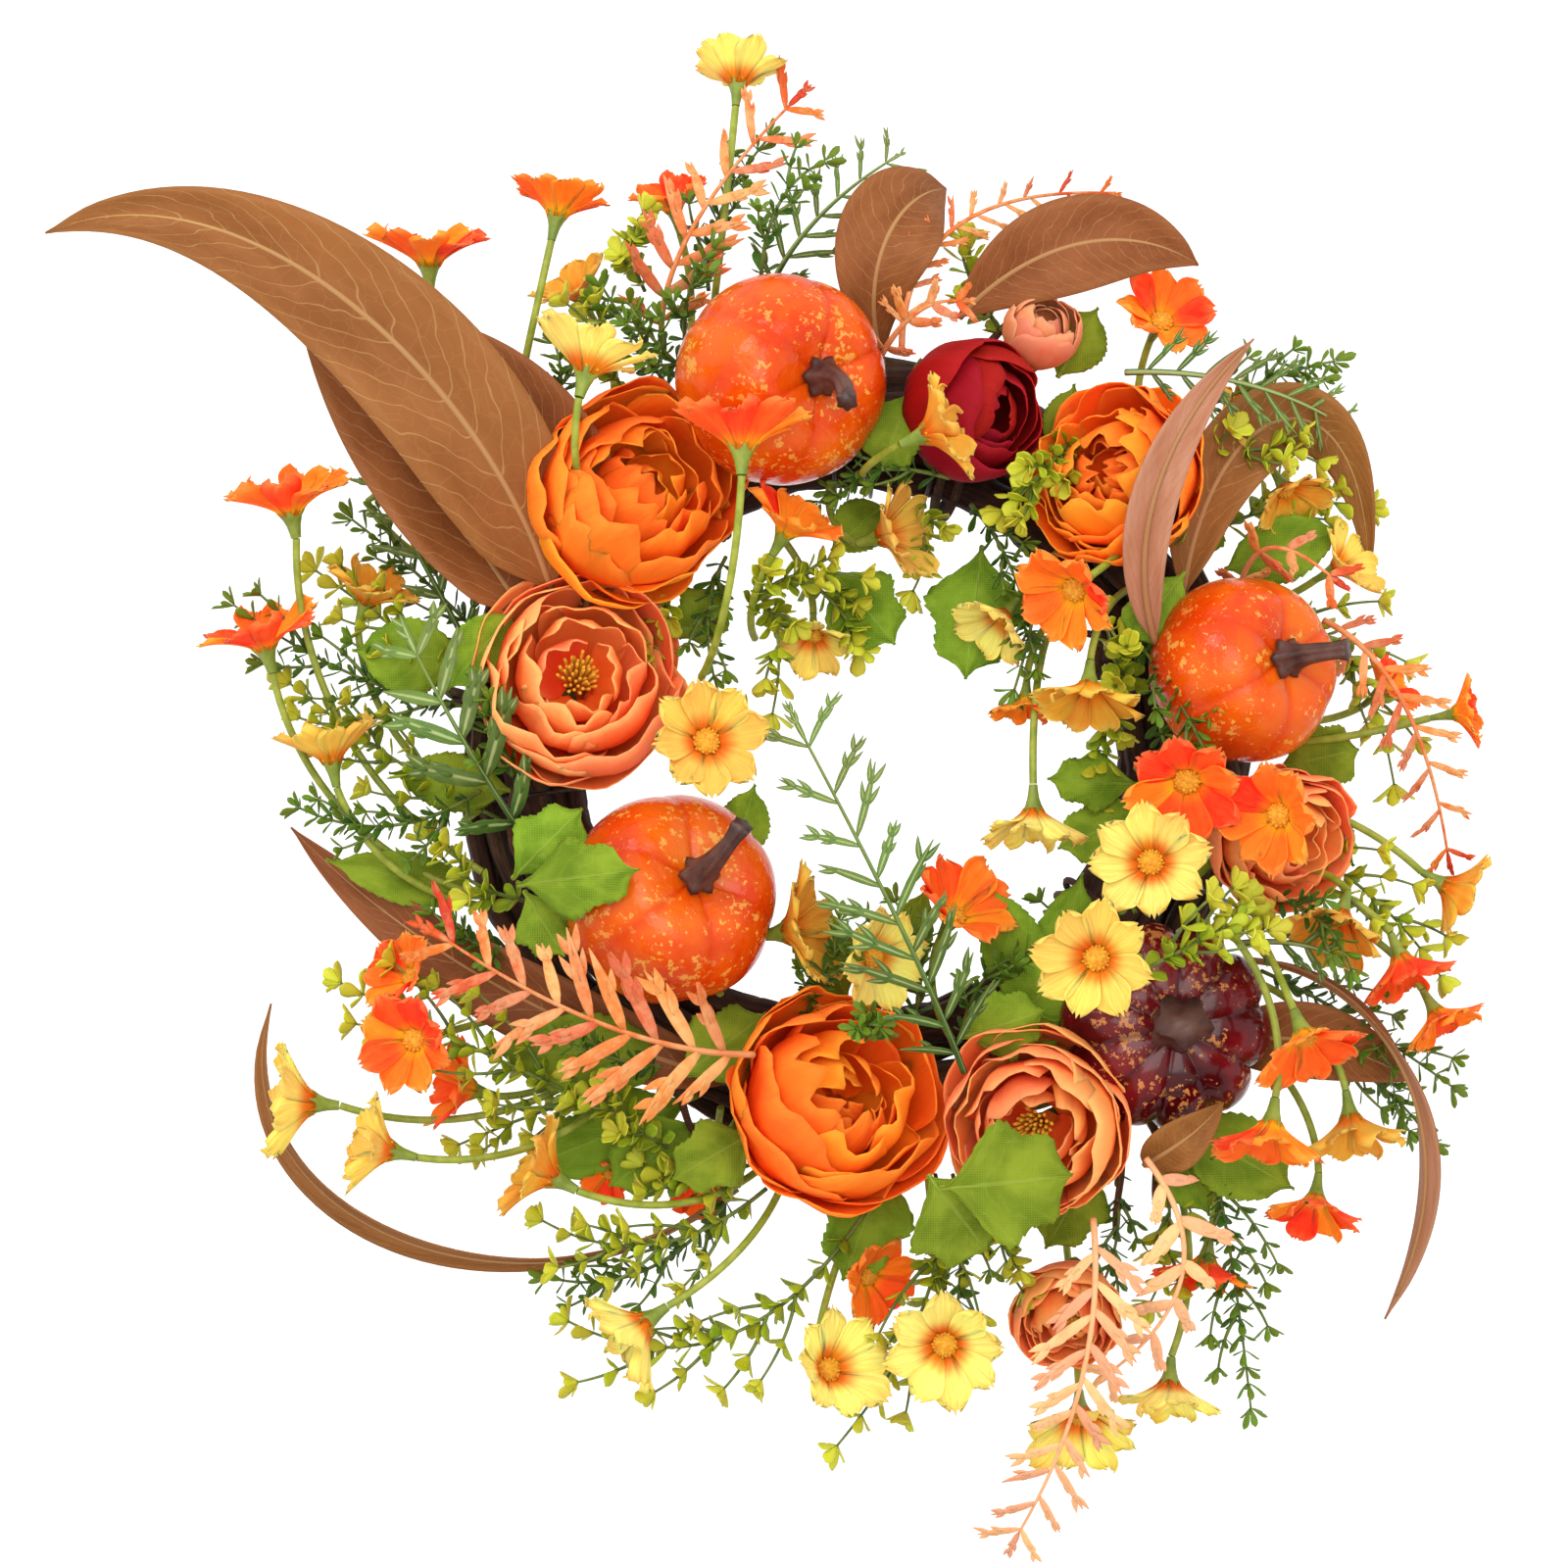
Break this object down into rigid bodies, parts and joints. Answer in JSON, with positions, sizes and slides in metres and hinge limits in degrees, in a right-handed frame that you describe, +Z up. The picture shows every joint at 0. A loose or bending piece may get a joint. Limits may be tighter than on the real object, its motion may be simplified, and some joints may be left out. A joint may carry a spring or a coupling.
{
  "type": "door wreath",
  "caption": "Round grapevine wreath dressed with foam pumpkins, silk blooms, daisies, bronze leaves and sprays of foliage, with a pivoting wire hanging loop behind.",
  "frame": {"origin": "centre of the vine ring, on the plane of the door behind it", "axes": "+Z up, -Y towards the viewer, +X to the viewer's right; the door is the plane Y = 0"},
  "size_m": [0.4899, 0.1543, 0.5104],
  "materials": {
    "bark": "rough grapevine bark, dark brown",
    "wrap_vine": "thin twisted vine, brown",
    "wire": "annealed florist wire, dark",
    "stalk": "moulded foam stalk, brown",
    "foam_orange": "lacquered foam, orange with pale specks",
    "foam_burgundy": "lacquered foam, burgundy with gold specks",
    "silk_orange": "silk petal, orange",
    "silk_salmon": "silk petal, salmon",
    "silk_burgundy": "silk petal, burgundy",
    "silk_peach": "silk petal, peach",
    "calyx": "moulded calyx, green",
    "bronze_leaf": "printed satin leaf, bronze brown",
    "green_leaf": "woven leaf, mid green",
    "daisy_orange": "silk petal, orange",
    "daisy_yellow": "silk petal, yellow",
    "stem": "moulded stem, yellow green",
    "fern": "printed leaflet, orange and cream",
    "cutleaf": "moulded leaflet, green and cream",
    "box_leaf": "moulded leaflet, green to yellow green"
  },
  "bodies": {
    "wreath": {"vine_hoop_1": "bark", "vine_hoop_2": "bark", "vine_hoop_3": "bark", "vine_hoop_4": "bark", "vine_hoop_5": "bark", "vine_wraps": "wrap_vine", "vine_tips": "bark", "wire_ties": "wire", "loop_saddle": "wire", "pumpkin_top": "foam_orange", "pumpkin_top_stalk": "stalk", "pumpkin_right": "foam_orange", "pumpkin_right_stalk": "stalk", "pumpkin_left": "foam_orange", "pumpkin_left_stalk": "stalk", "pumpkin_dark": "foam_burgundy", "pumpkin_dark_stalk": "stalk", "ranunculus_upper_left": "silk_orange", "peony_left": "silk_salmon", "ranunculus_bottom": "silk_orange", "peony_bottom": "silk_salmon", "peony_right": "silk_salmon", "bud_burgundy": "silk_burgundy", "ranunculus_upper_right": "silk_orange", "bud_peach": "silk_peach", "peony_low": "silk_salmon", "bloom_calyxes": "calyx", "bronze_leaf_1": "bronze_leaf", "bronze_leaf_2": "bronze_leaf", "bronze_leaf_3": "bronze_leaf", "bronze_leaf_4": "bronze_leaf", "bronze_leaf_5": "bronze_leaf", "bronze_leaf_6": "bronze_leaf", "bronze_leaf_7": "bronze_leaf", "bronze_leaf_8": "bronze_leaf", "bronze_leaf_9": "bronze_leaf", "bronze_leaf_10": "bronze_leaf", "bronze_leaf_11": "bronze_leaf", "bronze_leaf_12": "bronze_leaf", "green_leaves_left": "green_leaf", "green_leaves_top": "green_leaf", "green_leaves_right": "green_leaf", "green_leaves_bottom": "green_leaf", "orange_daisies_upper_left": "daisy_orange", "orange_daisies_lower_left": "daisy_orange", "orange_daisies_upper_right": "daisy_orange", "orange_daisies_lower_right": "daisy_orange", "yellow_daisies_upper_left": "daisy_yellow", "yellow_daisies_lower_left": "daisy_yellow", "yellow_daisies_upper_right": "daisy_yellow", "yellow_daisies_lower_right": "daisy_yellow", "daisy_stems_upper_left": "stem", "daisy_stems_lower_left": "stem", "daisy_stems_upper_right": "stem", "daisy_stems_lower_right": "stem", "fern_sprays": "fern", "cutleaf_sprays": "cutleaf", "box_sprigs_left": "box_leaf", "box_sprigs_right": "box_leaf"},
    "loop": {"hanging_loop": "wire"}
  },
  "joints": [
    {"name": "loop_pivot", "type": "hinge", "parent": "wreath", "child": "loop", "pos_m": [0, -0.0036, 0.12445], "axis": [1, 0, 0], "range_deg": [0, 175]}
  ]
}
